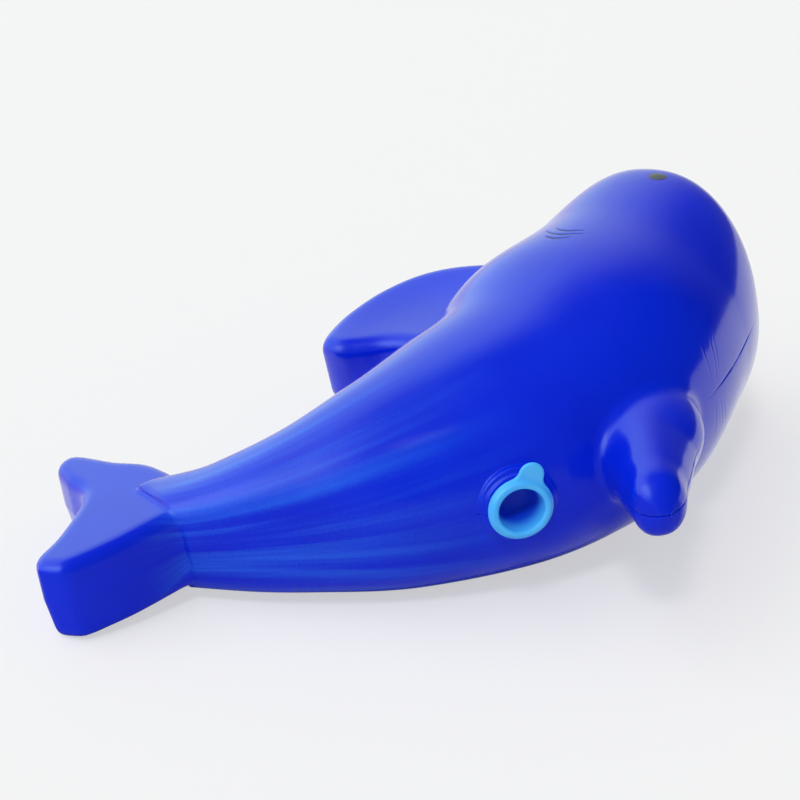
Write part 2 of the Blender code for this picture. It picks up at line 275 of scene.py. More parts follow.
def swept(sheets, x, y, z):
    """Distance to a swept form: how far out of its section a point is, by how steep that is."""
    out, half_tall, half_wide, lean, over, power = (read_sheet(sheet, x, y) for sheet in sheets)
    up = abs(z) / half_wide
    size = (out ** power + up ** power + 1e-9) ** (1 / power)
    steep = np.sqrt(((out / size) ** (power - 1) / half_tall) ** 2
                    + ((up / size) ** (power - 1) / half_wide) ** 2 + (size * lean) ** 2 + 1e-6)
    return np.maximum((size - 1) / steep, over)


def rounded_plate(rim, face, rounding):
    """A plate from the distances to its rim and to its face."""
    rim, face = rim + rounding, face + rounding
    corner = np.hypot(np.maximum(rim, 0), np.maximum(face, 0))
    return np.minimum(np.maximum(rim, face), 0) + corner - rounding


print("two walls that meet, joined with a 2 mm fillet:", joined(1.0, 1.0, 2.0))

# %% [markdown]
# The outer form. The dorsal blade thins towards its tip and is dished on both faces, both fins
# meet the trunk in soft fillets, and the tail plate meets the tail stock in a crisp crease with
# the stock cut to a V. Where the toy rests, the table plane flattens the flank and the tail.

# %% Outer form
DORSAL_ROOT, DORSAL_WAY, DORSAL_REACH = (41.0, 9.0), (0.74, 0.67), 55.0
DORSAL_MIDDLE, DORSAL_ARC = (25.0, 5.0), 43.0
DORSAL_DISH, DORSAL_EASE = 0.024, 16.0
DORSAL_HALF, DORSAL_TAPER, DORSAL_ROUND = 16.6, 0.0022, 0.42
DORSAL_FILLET = 2.0
BELLY_FILLET = 3.0
TAIL_CREASE = 0.3
TAIL_APEX, TAIL_CLEAR = (-88.0, 1.0), 18.0
TAIL_HALF, TAIL_ROUNDING, TAIL_DRAFT = 12.0, 3.3, 0.06
REST_ROUNDING = 0.6


def tail_plate(x, y, z):
    rim = read_sheet(tail_sheet, x, y) + TAIL_DRAFT * abs(z)
    return rounded_plate(rim, abs(z) - TAIL_HALF, TAIL_ROUNDING)


def dorsal_blade(x, y, z):
    """Thinner towards the tip, with an edge as round as the blade is thick."""
    outward = (DORSAL_ROOT[0] - x) * DORSAL_WAY[0] + (y - DORSAL_ROOT[1]) * DORSAL_WAY[1]
    inward = DORSAL_ARC - np.hypot(x - DORSAL_MIDDLE[0], y - DORSAL_MIDDLE[1])
    half = DORSAL_HALF - DORSAL_TAPER * np.clip(outward, 0, DORSAL_REACH) ** 2
    half = half - DORSAL_DISH * np.maximum(inward, 0) ** 2 / (1 + (inward / DORSAL_EASE) ** 2)
    return rounded_plate(read_sheet(dorsal_sheet, x, y), abs(z) - half, DORSAL_ROUND * half)


def outer_form(x, y, z):
    """The body without its neck, as one filled form."""
    far_side = y - TAIL_APEX[1] - np.maximum(x - TAIL_APEX[0] - TAIL_CLEAR, 0)
    form = np.maximum(swept(trunk_sheets, x, y, z), np.maximum(TAIL_APEX[0] - x, far_side))
    form = joined(form, dorsal_blade(x, y, z), DORSAL_FILLET)
    form = joined(form, swept(belly_sheets, x, y, z), BELLY_FILLET)
    form = joined(form, tail_plate(x, y, z), TAIL_CREASE)
    under = -(REST_DEPTH + x * REST_UP[0] + y * REST_UP[1] + z * REST_UP[2])
    return kept_of(form, under, REST_ROUNDING)


print("outer form at the drawing's origin:", outer_form(*np.zeros((3, 1))).round(2))

# %% [markdown]
# The neck stands on the belly line: a low pad, a collar on it, and the bore for the stopper. The
# body is hollow, so a chamber follows the trunk one wall inside it. It ends behind the front of
# the head, which stays filled, and the outlet is a short bore in the snout.

# %% Field of the body
NECK_SEAT = np.array((-17.3, -78.95, 0.0))
NECK_OUT = np.array((-0.3935, -0.9193, 0.0))
NECK_OUT /= np.linalg.norm(NECK_OUT)
COLLAR_RADIUS, COLLAR_HEIGHT, COLLAR_ROUNDING = 9.5, 1.8, 0.7
PAD_RADIUS, PAD_HEIGHT, PAD_ROUNDING = 10.8, 0.6, 0.9
PAD_FILLET, PAD_CLEAR = 0.5, 4
NECK_DEPTH = 6.0
NECK_BORE, BORE_DEPTH, BORE_ROUNDING = 7.2, 16.0, 0.2
OUTLET_RADIUS, OUTLET_DEPTH = 1.0, 12
MOUTH_ROUNDING = 0.3
WALL = 3.0
CHAMBER_END = 100.0


def neck_place(x, y, z):
    """Height above the belly line along the neck, and distance from the neck's axis."""
    height = (x - NECK_SEAT[0]) * NECK_OUT[0] + (y - NECK_SEAT[1]) * NECK_OUT[1]
    side = (x - NECK_SEAT[0]) * NECK_OUT[1] - (y - NECK_SEAT[1]) * NECK_OUT[0]
    return height, np.hypot(side, z)


def slab(low, high, height):
    return np.maximum(low - height, height - high)


def rod(radius, low, high, height, away, rounding):
    return kept_of(away - radius, slab(low, high, height), rounding)


def body_field(x, y, z):
    outer = outer_form(x, y, z)
    place = neck_place(x, y, z)
    pad = rod(PAD_RADIUS, -NECK_DEPTH, PAD_HEIGHT, *place, PAD_ROUNDING)
    collar = rod(COLLAR_RADIUS, -NECK_DEPTH, COLLAR_HEIGHT, *place, COLLAR_ROUNDING)
    bore = rod(NECK_BORE, -BORE_DEPTH, BORE_DEPTH, *place, BORE_ROUNDING)
    solid = joined(outer, np.maximum(pad, outer - PAD_CLEAR), PAD_FILLET)
    inner = np.maximum(swept(trunk_sheets, x, y, z), outer) + WALL
    shell = np.maximum(solid, -np.maximum(inner, x - CHAMBER_END))
    shell = joined(shell, collar, COLLAR_ROUNDING)
    shell = kept_of(shell, -bore, MOUTH_ROUNDING)
    outlet = np.maximum(np.hypot(y - SNOUT[1], z) - OUTLET_RADIUS, SNOUT[0] - OUTLET_DEPTH - x)
    return kept_of(shell, -outlet, MOUTH_ROUNDING)


print("field at the drawing's origin:", body_field(*np.zeros((3, 1))).round(2))

# %% [markdown]
# A surface net turns a field into a mesh: every grid cell that the surface crosses gets one
# point, and every grid edge that it crosses gets one four-sided face. That keeps soft fillets
# evenly meshed, which a union of separate meshes would not.

# %% From a field to a net
EDGES = [(a, b) for a, b in itertools.combinations(itertools.product((0, 1), repeat=3), 2)
         if sum(abs(p - q) for p, q in zip(a, b)) == 1]


def surface_net(field, low, high, pitch):
    axes = [np.arange(math.floor(a / pitch), math.ceil(b / pitch) + 1) * pitch
            for a, b in zip(low, high)]
    values = np.stack([field(*np.meshgrid(axes[0], axes[1], [level], indexing="ij"))[:, :, 0]
                       for level in axes[2]], -1)
    inside = values < 0
    cells = tuple(size - 1 for size in values.shape)
    count = np.zeros(cells, np.int8)
    for i, j, k in itertools.product((0, 1), repeat=3):
        count += inside[i:cells[0] + i, j:cells[1] + j, k:cells[2] + k]
    cell = np.argwhere((count > 0) & (count < 8))
    number = np.full(cells, -1)
    number[tuple(cell.T)] = np.arange(len(cell))
    total, hits = np.zeros((len(cell), 3)), np.zeros(len(cell))
    for near, far in EDGES:
        start, end = values[tuple((cell + near).T)], values[tuple((cell + far).T)]
        crossed = (start < 0) != (end < 0)
        share = start[crossed] / (start[crossed] - end[crossed])
        total[crossed] += np.array(near) + share[:, None] * (np.array(far) - near)
        hits[crossed] += 1
    points = np.array([axis[0] for axis in axes]) + pitch * (cell + total / hits[:, None])
    faces = []
    for axis in range(3):
        along, u, v = np.roll(np.eye(3, dtype=int), -axis, axis=0)
        start = inside[tuple(slice(0, size - a) for size, a in zip(inside.shape, along))]
        end = inside[tuple(slice(a, None) for a in along)]
        edge = np.argwhere(start != end)
        edge = edge[((edge - u - v >= 0).all(1)) & ((edge < np.array(cells)).all(1))]
        quad = np.stack([number[tuple((edge - shift).T)] for shift in (u + v, v, 0 * u, u)], 1)
        outward = start[tuple(edge.T)]
        faces.append(np.where(outward[:, None], quad, quad[:, ::-1]))
    return points, np.vstack(faces)


BODY_PITCH = 1.2
BODY_LOW, BODY_HIGH = (-131, -121, -46), (125, 49, 46)
body_points, body_faces = surface_net(body_field, BODY_LOW, BODY_HIGH, BODY_PITCH)
print("body net:", len(body_points), "points,", len(body_faces), "faces")

# %% [markdown]
# The raw net is a little rough. Its points are slid to the middle of their neighbours, which evens
# out the faces, and each time settled on the surface again, so that the gloss runs smoothly.

# %% Settle the net
def gradient(field, points, step=0.02):
    slopes = []
    for axis in range(3):
        shift = np.zeros(3)
        shift[axis] = step
        slopes.append((field(*(points + shift).T) - field(*(points - shift).T)) / (2 * step))
    return np.stack(slopes, 1)


def settle(points, field, rounds=3, most=0.6):
    """Move points onto the surface along the field's slope."""
    for _ in range(rounds):
        slope = gradient(field, points)
        move = field(*points.T)[:, None] * slope / np.maximum((slope ** 2).sum(1), 0.05)[:, None]
        length = np.linalg.norm(move, axis=1)[:, None]
        points = points - move * np.minimum(1, most / np.maximum(length, 1e-9))
    return points


def evened(points, faces, field, rounds=4):
    """Slide points to the middle of their neighbours, then back onto the surface."""
    pairs = np.vstack([faces[:, (a, (a + 1) % 4)] for a in range(4)])
    degree = np.bincount(pairs[:, 0], minlength=len(points))[:, None]
    for _ in range(rounds):
        total = np.stack([np.bincount(pairs[:, 0], points[pairs[:, 1], axis], len(points))
                          for axis in range(3)], 1)
        points = settle(points + 0.5 * (total / degree - points), field, 1)
    return settle(points, field, 2)


body_points = settle(body_points, body_field, 2)
body_points = evened(body_points, body_faces, body_field)
print("furthest off the surface:", abs(body_field(*body_points.T)).max().round(3), "mm")

# %% [markdown]
# Three gill lines on each flank and fine lines under the head are shallow grooves on the real toy.
# A texture would lie flat on the gloss, so they are cut into the field, near curves drawn on the
# flank and on the underside, and they run out to nothing at both ends.

# %% Engraved lines
GILLS = (((50.2, -24.0), (49.6, -30.0), (52.6, -35.0)),
         ((48.6, -21.0), (46.6, -30.0), (51.6, -38.0)),
         ((44.6, -25.6), (43.9, -31.6), (47.0, -36.0)))
GILL_DEPTH = 0.30
GILL_CUT = 0.50, GILL_DEPTH
GILL_FLANK, GILL_X, GILL_Y = 20, (40, 56), (-41, -18)
MOUTH_LINES = (((55.0, 2.6), (54.9, 9.0), (54.6, 15.5)),
               ((57.7, 2.4), (58.9, 8.0), (59.8, 13.6)),
               ((59.7, 4.2), (61.0, 9.0), (61.9, 13.6)))
MOUTH_CUT = 0.40, 0.07
MOUTH_BELOW, MOUTH_X, MOUTH_SIDE = -62, (52, 66), 18
LINE_REACH = 1


def line_depth(lines, width, depth, x, y):
    """How deep a set of tapered lines, drawn flat, cuts at each point."""
    cut = np.zeros(x.shape)
    for line in lines:
        curve = smooth_line(line)
        taper = np.sin(np.pi * np.linspace(0.06, 0.94, len(curve)))
        near = nearest(np.stack((x.ravel(), y.ravel()), 1), curve)
        gap = np.hypot(x.ravel() - curve[near, 0], y.ravel() - curve[near, 1]).reshape(x.shape)
        half = (width * taper[near]).reshape(x.shape)
        cut = np.maximum(cut, depth * np.clip(1 - (gap / half) ** 2, 0, 1))
    return cut


def between(value, limits):
    return (value > limits[0]) & (value < limits[1])


def line_cut(x, y, z, gill_cut=GILL_CUT, mouth_cut=MOUTH_CUT):
    """Depth of the gill lines on both flanks and of the lines under the head, by width and depth."""
    cut = np.zeros(x.shape)
    gill = (abs(z) > GILL_FLANK) & between(x, GILL_X) & between(y, GILL_Y)
    cut[gill] = line_depth(GILLS, *gill_cut, x[gill], y[gill])
    mouth = (y < MOUTH_BELOW) & between(x, MOUTH_X) & (abs(z) < MOUTH_SIDE)
    cut[mouth] = line_depth(MOUTH_LINES, *mouth_cut, x[mouth], abs(z[mouth]))
    return cut


def detailed_field(x, y, z):
    form = body_field(x, y, z)
    return np.where(form > -LINE_REACH, np.maximum(form, form + line_cut(x, y, z)), form)


print("net points on a line:", (line_cut(*body_points.T) > 0).sum())

# %% [markdown]
# Finer parts need a finer net: the collar round the neck, the outlet and the engraved lines. A
# finer net everywhere would be heavy, so only the faces there are divided, twice each, and their
# new points settle on the field with the lines in it.

# %% Finer faces where they are needed
COLLAR_NEAR, COLLAR_BELOW = (6.0, 13.5), -6.5
OUTLET_NEAR, OUTLET_LENGTH = 4, 6
LINE_NEAR = 1.4, 1


def near_collar(x, y, z):
    height, away = neck_place(x, y, z)
    return between(away, COLLAR_NEAR) & (height > COLLAR_BELOW)


def near_outlet(x, y, z):
    return (np.hypot(y - SNOUT[1], z) < OUTLET_NEAR) & (x > SNOUT[0] - OUTLET_LENGTH)


def near_lines(x, y, z):
    return (line_cut(x, y, z, LINE_NEAR, LINE_NEAR) > 0) & (outer_form(x, y, z) > -LINE_REACH)


def mesh_of(name, points, faces):
    mesh = bpy.data.meshes.new(name)
    mesh.from_pydata(points, [], faces)
    return mesh


def coordinates(mesh):
    flat_list = np.empty(len(mesh.vertices) * 3)
    mesh.vertices.foreach_get("co", flat_list)
    return flat_list.reshape(-1, 3)


def divided(mesh, chosen):
    """Divide the faces whose middle the rule chooses."""
    form = bmesh.new()
    form.from_mesh(mesh)
    middles = np.array([face.calc_center_median() for face in form.faces])
    picked = chosen(*middles.T)
    edges = {edge for face, pick in zip(form.faces, picked) if pick for edge in face.edges}
    bmesh.ops.subdivide_edges(form, edges=list(edges), cuts=1, use_grid_fill=True)
    form.to_mesh(mesh)
    form.free()


body_mesh = mesh_of("body_net", body_points, body_faces)
for rule in (near_collar, near_collar, near_outlet, near_outlet, near_lines, near_lines):
    divided(body_mesh, rule)
settled = coordinates(body_mesh)
fine = (np.arange(len(settled)) >= len(body_points)) | (line_cut(*settled.T) > 0)
settled[fine] = settle(settled[fine], detailed_field, rounds=5, most=0.25)
body_mesh.vertices.foreach_set("co", settled.ravel())
print("detailed body:", len(body_mesh.vertices), "points")

# %% [markdown]
# The toy is moulded in two halves that meet in the mirror plane. The seam is hardly seen on the
# flanks, stands open as a dark slit under the head and round the tip of the belly fin, and shows
# again where it climbs the collar. A rule says how far the seam gapes at each place.

# %% Where the seam opens
HEAD_SLIT, HEAD_SLIT_BELOW = (50, 95), -48
FIN_SLIT, FIN_SLIT_EASE = -96, 8
COLLAR_SLIT, COLLAR_SLIT_EASE, COLLAR_SLIT_BELOW = 12.5, 1.5, -2


def seam_open(x, y):
    """From 0 where the seam is tight to 1 where it gapes."""
    along = (x - HEAD_SLIT[0]) / (HEAD_SLIT[1] - HEAD_SLIT[0])
    under_head = np.sin(np.pi * np.clip(along, 0, 1)) * (y < HEAD_SLIT_BELOW)
    fin_tip = np.clip((FIN_SLIT - y) / FIN_SLIT_EASE, 0, 1)
    height, away = neck_place(x, y, 0 * x)
    collar = np.clip((COLLAR_SLIT - away) / COLLAR_SLIT_EASE, 0, 1) * (height > COLLAR_SLIT_BELOW)
    return np.maximum(np.maximum(under_head, fin_tip), collar * (x < NECK_SEAT[0]) * 0.5)


print("seam under the head:", seam_open(np.array((72.5,)), np.array((-65.0,))).round(2))

# %% [markdown]
# Each half is cut from the net, gets a few loops of points beside the cut, and is closed by its
# flat rim, so that both stay separate bodies. Near the cut the surface dips where the seam gapes
# and rises a little behind the neck, where flash is left. The halves also store numbers for their
# material: depth of a groove, place along the trunk, and angle round it.

# %% Split the body at the seam
SEAM_LOOPS = (0.9, 0.4, 0.15)
SEAM_TIGHT, SEAM_WIDE, SEAM_SLACK = 0.006, 0.13, 0.004
SEAM_DIP, SEAM_OPEN_DIP = -0.05, 0.22
FLASH_EASE = 6
HALF_SHARP = 50


def linked(name, data):
    """A new object with this data, in the scene."""
    made = bpy.data.objects.new(name, data)
    bpy.context.scene.collection.objects.link(made)
    return made


def mark(mesh, name, values):
    """Store a number for each point of a mesh, for its material to read."""
    mesh.attributes.new(name, "FLOAT", "POINT").data.foreach_set("value", values)


def smoothed(piece, angle):
    """Smooth shading that keeps edges sharper than the angle."""
    piece.data.shade_smooth()
    piece.data.set_sharp_from_angle(angle=math.radians(angle))
    piece.data.update()


def cut_at(form, level, side, **clear):
    everything = form.verts[:] + form.edges[:] + form.faces[:]
    bmesh.ops.bisect_plane(form, geom=everything, dist=1e-4, plane_co=(0, 0, side * level),
                           plane_no=(0, 0, side), **clear)


def close_cut(form, rim):
    """Fill the cut with triangles wherever its plane runs through plastic."""
    corners = list(dict.fromkeys(vertex for edge in rim for vertex in edge.verts))
    order = {vertex: number for number, vertex in enumerate(corners)}
    lines = [[order[vertex] for vertex in edge.verts] for edge in rim]
    spots = [vertex.co.xy for vertex in corners]
    filled, _, triangles, sources, _, _ = delaunay_2d_cdt(spots, lines, [], 0, 1e-7)
    middles = np.array(filled)[np.array(triangles)].mean(axis=1)
    ends = np.array(spots)[np.array(lines)]
    for triangle, plastic in zip(triangles, enclosed(middles, ends[:, 0], ends[:, 1])):
        if plastic:
            form.faces.new([corners[sources[corner][0]] for corner in triangle])


def body_half(name, side):
    form = bmesh.new()
    form.from_mesh(body_mesh)
    for level in SEAM_LOOPS:
        cut_at(form, level, side)
    cut_at(form, SEAM_TIGHT, side, clear_inner=True)
    close_cut(form, [edge for edge in form.edges if edge.is_boundary])
    bmesh.ops.recalc_face_normals(form, faces=form.faces)
    mesh = bpy.data.meshes.new(name)
    form.to_mesh(mesh)
    form.free()
    points = coordinates(mesh)
    x, y, z = points.T
    outside = outer_form(x, y, z) > -WALL / 2
    close = np.clip(1 - abs(z) / SEAM_LOOPS[0], 0, 1) ** 2 * outside
    opened = seam_open(x, y)
    slope = gradient(outer_form, points)
    slope /= np.maximum(np.linalg.norm(slope, axis=1), 0.2)[:, None]
    slope[:, 2] = 0
    flash = SEAM_DIP * np.clip((NECK_SEAT[0] - x) / FLASH_EASE, 0, 1)
    points = points - slope * (close * (flash + opened * (SEAM_OPEN_DIP - flash)))[:, None]
    on_rim = abs(z) < SEAM_TIGHT + SEAM_SLACK
    points[on_rim, 2] = side * (SEAM_TIGHT + opened * (SEAM_WIDE - SEAM_TIGHT))[on_rim]
    mark(mesh, "groove", np.clip(line_cut(x, y, z) / GILL_DEPTH, 0, 1) * outside)
    place, side_way = along_spine(points[:, :2], *spine_of(TRUNK)[:3])
    mark(mesh, "along", place * MM)
    mark(mesh, "lane", np.arctan2(points[:, 2], side_way))
    mesh.vertices.foreach_set("co", to_table(points).ravel())
    return linked(name, mesh)


left_half = body_half("left_body_shell", 1)
right_half = body_half("right_body_shell", -1)
for half in (left_half, right_half):
    smoothed(half, HALF_SHARP)
    print(half.name, sum(len(face.vertices) - 2 for face in half.data.polygons), "triangles")

# %% [markdown]
# The stopper is one moulding: a flange with a rounded rim and a raised inner lip, a hollow plug
# whose cup narrows inwards, and a finger tab with soft fillets. It is drawn as a field too, in
# the neck's own frame: height along the neck's axis from the collar's rim, and distance from it.

# %% Field of the stopper
FLANGE_RADIUS, FLANGE_LOW, FLANGE_HIGH = 8.9, 0.3, 1.75
LIP_RADIUS, LIP_HIGH = 8.2, 2.7
CUP_MOUTH, CUP_END, CUP_FLOOR, CUP_ROUNDING = 6.35, 5.0, -9.0, 4.0
CUP_OVERRUN, CUP_LEAN = 0.2, 0.98
PLUG_RADIUS, PLUG_END = 6.7, -10.0
TAB_TURN, TAB_START, TAB_MIDDLE = math.radians(63), 6, 10.0
TAB_RADIUS, TAB_HIGH, TAB_FILLET = 3.5, 1.6, 2.0
RIM_ROUNDING, EDGE_ROUNDING, CUP_EDGE = 0.9, 0.8, 0.7
STEP_FILLET, LIP_FILLET = 0.3, 0.6


def stopper_field(x, y, z):
    away = np.hypot(x, y)
    flange = rod(FLANGE_RADIUS, FLANGE_LOW, FLANGE_HIGH, z, away, RIM_ROUNDING)
    lip = rod(LIP_RADIUS, FLANGE_LOW, LIP_HIGH, z, away, RIM_ROUNDING)
    plug = rod(PLUG_RADIUS, PLUG_END, FLANGE_HIGH, z, away, EDGE_ROUNDING)
    forward = x * math.cos(TAB_TURN) + y * math.sin(TAB_TURN)
    sideways = y * math.cos(TAB_TURN) - x * math.sin(TAB_TURN)
    beyond = abs(forward - (TAB_MIDDLE + TAB_START) / 2) - (TAB_MIDDLE - TAB_START) / 2
    paddle = np.hypot(np.maximum(beyond, 0), sideways)
    flat_form = joined(away - FLANGE_RADIUS, paddle - TAB_RADIUS, TAB_FILLET)
    tab = kept_of(flat_form, slab(FLANGE_LOW, TAB_HIGH, z), EDGE_ROUNDING)
    solid = joined(joined(flange, tab, STEP_FILLET), lip, LIP_FILLET)
    solid = joined(solid, plug, STEP_FILLET)
    share = np.clip((z - CUP_FLOOR) / (LIP_HIGH - CUP_FLOOR), -CUP_OVERRUN, 1 + CUP_OVERRUN)
    side = (away - CUP_END - share * (CUP_MOUTH - CUP_END)) * CUP_LEAN
    return kept_of(solid, -kept_of(side, CUP_FLOOR - z, CUP_ROUNDING), CUP_EDGE)


STOPPER_PITCH = 0.24
STOPPER_LOW, STOPPER_HIGH = (-15, -15, -10.5), (15, 15, 3.2)
stopper_points, stopper_faces = surface_net(stopper_field, STOPPER_LOW, STOPPER_HIGH, STOPPER_PITCH)
stopper_points = settle(stopper_points, stopper_field, rounds=2, most=0.15)
stopper_points = evened(stopper_points, stopper_faces, stopper_field)
print("stopper net:", len(stopper_points), "points")

# %% [markdown]
# The net is turned from the neck's frame into the drawing and laid on the table with the body. Each
# point also stores how deep it lies in the cup, for the painted shade that darkens the cup towards
# its floor.

# %% Place the stopper
NECK_AXES = np.stack((np.cross((0, 0, 1), NECK_OUT), (0, 0, 1), NECK_OUT))
COLLAR_RIM = NECK_SEAT + NECK_OUT * COLLAR_HEIGHT
# How far the painted shade in the cup runs, how far below the lip it starts, and the cup's margin.
CUP_SHADE_DEPTH, CUP_SHADE_START, CUP_MARGIN = 7.0, 0.5, 0.2
STOPPER_SHARP = 60


def from_neck(points):
    """The neck's frame to the drawing."""
    return np.asarray(points) @ NECK_AXES + COLLAR_RIM


def new_piece(name, points, faces):
    return linked(name, mesh_of(name, to_table(points), faces))


stopper = new_piece("belly_stopper", from_neck(stopper_points), stopper_faces)
# The stored cup depth drives a painted shade that darkens the stopper towards the cup's floor.
in_cup = np.hypot(*stopper_points[:, :2].T) < CUP_MOUTH + CUP_MARGIN
depth = (LIP_HIGH - CUP_SHADE_START - stopper_points[:, 2]) / CUP_SHADE_DEPTH
mark(stopper.data, "cup", np.clip(depth, 0, 1) * in_cup)
smoothed(stopper, STOPPER_SHARP)

# %% [markdown]
# Materials are written as small recipes. A wire stands for one socket, and arithmetic on wires
# adds the Math nodes, so a mask reads like a formula. Any other node comes from one method of the
# recipe: its type, its settings, then the values or wires of its inputs.

# %% A short way to write materials
class Wire:
    """One output socket, with the arithmetic that the recipes use."""

    def __init__(self, recipe, socket):
        self.recipe, self.socket = recipe, socket

    def math(self, operation, first, second):
        return self.recipe.node("ShaderNodeMath", {"operation": operation}, {0: first, 1: second})

    def __add__(self, other):
        return self.math("ADD", self, other)

    def __sub__(self, other):
        return self.math("SUBTRACT", self, other)

    def __rsub__(self, other):
        return self.math("SUBTRACT", other, self)

    def __mul__(self, other):
        return self.math("MULTIPLY", self, other)

    __radd__, __rmul__ = __add__, __mul__


class Recipe:
    """The nodes of a material or a sky, with its shader's plain values set at the start."""

    def __init__(self, owner, shader="Principled BSDF", **plain):
        self.owner = owner
        owner.use_nodes = True
        self.tree = owner.node_tree
        self.shader = self.tree.nodes[shader]
        self.finish(**plain)

    def node(self, kind, settings=None, inputs=None, out=0):
        made = self.tree.nodes.new(kind)
        for label, value in (settings or {}).items():
            setattr(made, label, value)
        for label, value in (inputs or {}).items():
            self.feed(made.inputs[label], value)
        return Wire(self, made.outputs[out])

    def feed(self, socket, value):
        if isinstance(value, Wire):
            self.tree.links.new(value.socket, socket)
        else:
            socket.default_value = value

    def noise(self, scale, detail=2.0):
        place = self.node("ShaderNodeTexCoord", out="Object")
        values = {"Vector": place, "Scale": scale, "Detail": detail}
        return self.node("ShaderNodeTexNoise", {}, values, "Fac")

    def stored(self, name, out="Fac"):
        """What the mesh stores under this name."""
        return self.node("ShaderNodeAttribute", {"attribute_name": name}, out=out)

    def band(self, value, low, high):
        """0 below low, 1 above high, smooth between."""
        return self.node("ShaderNodeMapRange", {"interpolation_type": "SMOOTHSTEP"},
                         {"Value": value, "From Min": low, "From Max": high}, "Result")

    def mix(self, share, first, second):
        return self.node("ShaderNodeMix", {"data_type": "RGBA"}, {0: share, 6: first, 7: second}, 2)

    def finish(self, **wires):
        for label, value in wires.items():
            self.feed(self.shader.inputs[label.replace("_", " ")], value)
        return self.owner

    def show(self, wire):
        """Let a wire replace the shader at the material's output."""
        self.feed(self.tree.nodes["Material Output"].inputs["Surface"], wire)
        return self.owner

    def bumps(self, height, distance, strength=1.0):
        values = {"Height": height, "Distance": distance, "Strength": strength}
        return self.node("ShaderNodeBump", {}, values, "Normal")


print("a recipe's methods:", [name for name in vars(Recipe) if not name.startswith("_")])

# %% [markdown]
# The body is a glossy soft vinyl in one deep, saturated blue. Up close it isn't flat: the mould
# leaves a fine grain that softens the gloss, the colour runs a little, and pale streaks of painted
# sheen run along the tail stock. The gill lines are darker in their grooves, which the mesh marks
# with an attribute of its own.

# %% Blue vinyl
BODY_BLUE = (0.0006, 0.020, 0.690, 1)
BODY_DEEP = (0.0004, 0.015, 0.630, 1)
SHEEN_STREAK_BLUE = (0.016, 0.150, 0.840, 1)
GROOVE_BLUE = (0.010, 0.014, 0.060, 1)


def blue_vinyl():
    recipe = Recipe(bpy.data.materials.new("blue_vinyl"), Coat_Roughness=0.06, IOR=1.46)
    cloud = recipe.band(recipe.noise(26, 3), 0.35, 0.70)
    grain = recipe.noise(1500, 2)
    speck = recipe.noise(5200, 1)
    along = recipe.stored("along")
    lane = recipe.stored("lane")
    path = recipe.node("ShaderNodeCombineXYZ", {}, {"X": lane * 5.0, "Y": along * 9.0})
    # Pale streaks of painted sheen along the tail stock, laid out along the trunk.
    sheen_lanes = recipe.node("ShaderNodeTexNoise", {}, {"Vector": path, "Scale": 1.0, "Detail": 3.0}, "Fac")
    stock = recipe.band(along, 0.018, 0.032) * (1 - recipe.band(along, 0.055, 0.120))
    sheen_streak = recipe.band(sheen_lanes + grain * 0.14, 0.42, 0.82) * stock
    groove = recipe.stored("groove")
    colour = recipe.mix(cloud, BODY_BLUE, BODY_DEEP)
    # The painted sheen is mixed in as a paler, greener blue.
    colour = recipe.mix(sheen_streak * 0.6, colour, SHEEN_STREAK_BLUE)
    colour = recipe.mix(recipe.band(groove, 0.1, 0.6), colour, GROOVE_BLUE)
    roughness = 0.11 + grain * 0.08 + sheen_streak * 0.08 + groove * 0.3
    normal = recipe.bumps(grain + speck * 0.5, 0.00003, 0.35)
    return recipe.finish(Base_Color=colour, Roughness=roughness,
                         Coat_Weight=0.15 - groove * 0.15, Normal=normal)


blue = blue_vinyl()
print(blue.name, len(blue.node_tree.nodes), "nodes")

# %% [markdown]
# The stopper is a paler, satin plastic. It gets a fine grain and a slight clouding, and a painted
# shade darkens its colour into the cup, by the depth that its mesh stores.

# %% Pale blue plastic
PALE_BLUE = (0.070, 0.500, 1.000, 1)
PALE_DEEP = (0.050, 0.420, 1.000, 1)
CUP_SHADE_BLUE = (0.004, 0.070, 0.740, 1)


def pale_plastic():
    recipe = Recipe(bpy.data.materials.new("pale_blue_plastic"), Coat_Roughness=0.2, IOR=1.5)
    cloud = recipe.band(recipe.noise(120, 3), 0.35, 0.70)
    grain = recipe.noise(2600, 2)
    cup = recipe.stored("cup")
    colour = recipe.mix(cloud, PALE_BLUE, PALE_DEEP)
    # Painted shade: the colour darkens deeper into the cup.
    colour = recipe.mix(recipe.band(cup, 0.1, 0.9), colour, CUP_SHADE_BLUE)
    normal = recipe.bumps(grain, 0.00003, 0.4)
    return recipe.finish(Base_Color=colour, Roughness=0.30 + grain * 0.12 + cup * 0.3,
                         Coat_Weight=0.1 + cloud * 0.1, Normal=normal)


pale = pale_plastic()
print(pale.name, len(pale.node_tree.nodes), "nodes")

# %% [markdown]
# The eyes are printed black, and a slightly paler middle inside the black ring is a painted
# reflection. The mesh of each eye carries how far a point is from the middle, and the ink's edge is
# broken up a little, as a print's edge is.

# %% Eye ink
INK_BLACK = (0.012, 0.013, 0.022, 1)
INK_REFLECTED_MIDDLE = (0.020, 0.021, 0.034, 1)


def eye_ink():
    recipe = Recipe(bpy.data.materials.new("eye_ink"), IOR=1.5)
    away = recipe.stored("from_middle")
    ragged = away + recipe.noise(2500, 2) * 0.12
    ring = recipe.band(ragged, 0.52, 0.66)
    grain = recipe.noise(3000, 2)
    # The paler middle is a painted reflection on the black ink.
    colour = recipe.mix(ring, INK_REFLECTED_MIDDLE, INK_BLACK)
    return recipe.finish(Base_Color=colour, Roughness=0.25 + grain * 0.15,
                         Coat_Weight=0.3 + ring * 0.2, Normal=recipe.bumps(grain, 0.00002, 0.4))


ink = eye_ink()
print(ink.name, len(ink.node_tree.nodes), "nodes")

# %% [markdown]
# Two low ribs run round the plug and grip the neck. They are one shape repeated along a line, so
# a small Geometry Nodes tree makes them: a small circle swept round a large one, placed at each
# point of a short line, made real, and given its material.

